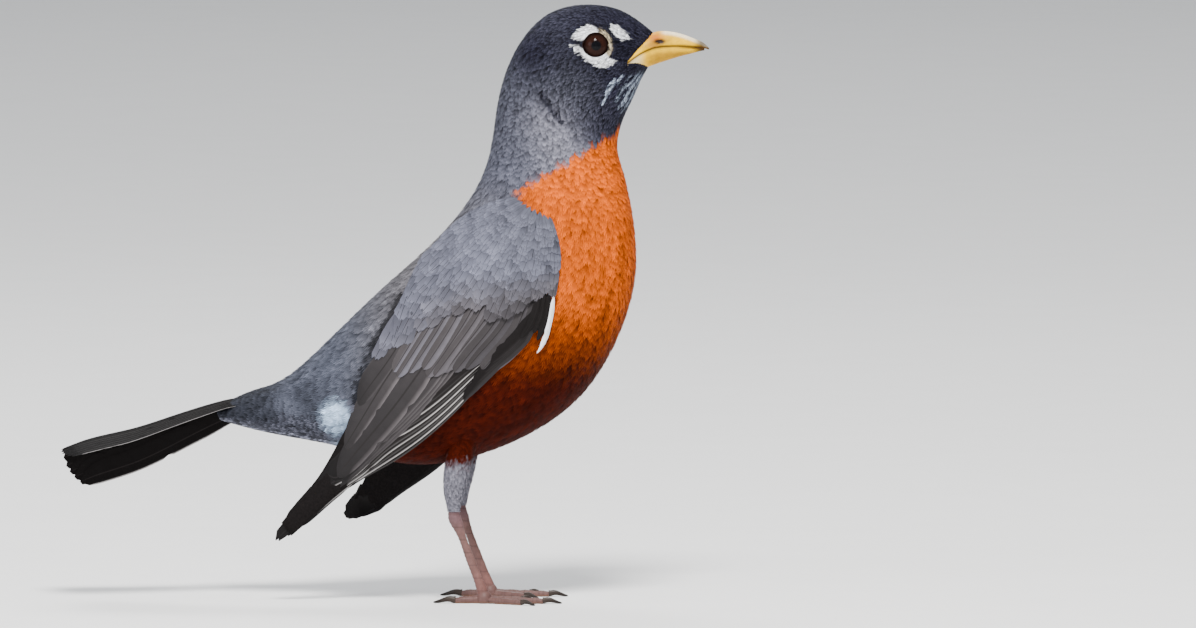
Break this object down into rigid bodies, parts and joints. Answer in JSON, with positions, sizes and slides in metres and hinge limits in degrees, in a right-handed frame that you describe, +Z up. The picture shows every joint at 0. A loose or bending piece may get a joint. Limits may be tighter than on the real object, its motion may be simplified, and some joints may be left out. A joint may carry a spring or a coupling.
{
  "type": "american robin",
  "caption": "Life-size still model of a male American robin, standing upright and alert, with drooping wings, a rolled half-open tail and its head in profile.",
  "frame": {"origin": "bottom centre of the whole bird's bounding box, on the floor that the feet stand on", "axes": "+X forward, the way the bird faces, +Y to its left, +Z up"},
  "size_m": [0.2152, 0.0696, 0.1971],
  "materials": {
    "crown_feathers": "close, satin black feathers with a faint blue sheen",
    "slate_feathers": "soft slate grey feathers",
    "breast_feathers": "soft brick orange feathers",
    "rump_feathers": "soft grey feathers, white at the vent",
    "flight_feathers": "smooth blackish brown feathers with pale edges",
    "bill": "smooth yellow horn",
    "eye": "wet, dark brown",
    "leg": "scaled, brownish pink skin",
    "claw": "dark horn"
  },
  "bodies": {
    "root": {"bill_lower": "bill", "bill_upper": "bill", "claw_left_hind": "claw", "claw_left_inner": "claw", "claw_left_middle": "claw", "claw_left_outer": "claw", "claw_right_hind": "claw", "claw_right_inner": "claw", "claw_right_middle": "claw", "claw_right_outer": "claw", "eye_left": "eye", "eye_right": "eye", "foot_left": "leg", "foot_right": "leg", "head": "crown_feathers", "neck": "slate_feathers", "rump": "rump_feathers", "tail": "flight_feathers", "tarsus_left": "leg", "tarsus_right": "leg", "thigh_left": "slate_feathers", "thigh_right": "slate_feathers", "trunk": "breast_feathers", "wing_left_primaries": "flight_feathers", "wing_left_secondaries": "flight_feathers", "wing_left_shoulder": "slate_feathers", "wing_right_primaries": "flight_feathers", "wing_right_secondaries": "flight_feathers", "wing_right_shoulder": "slate_feathers"}
  },
  "joints": []
}
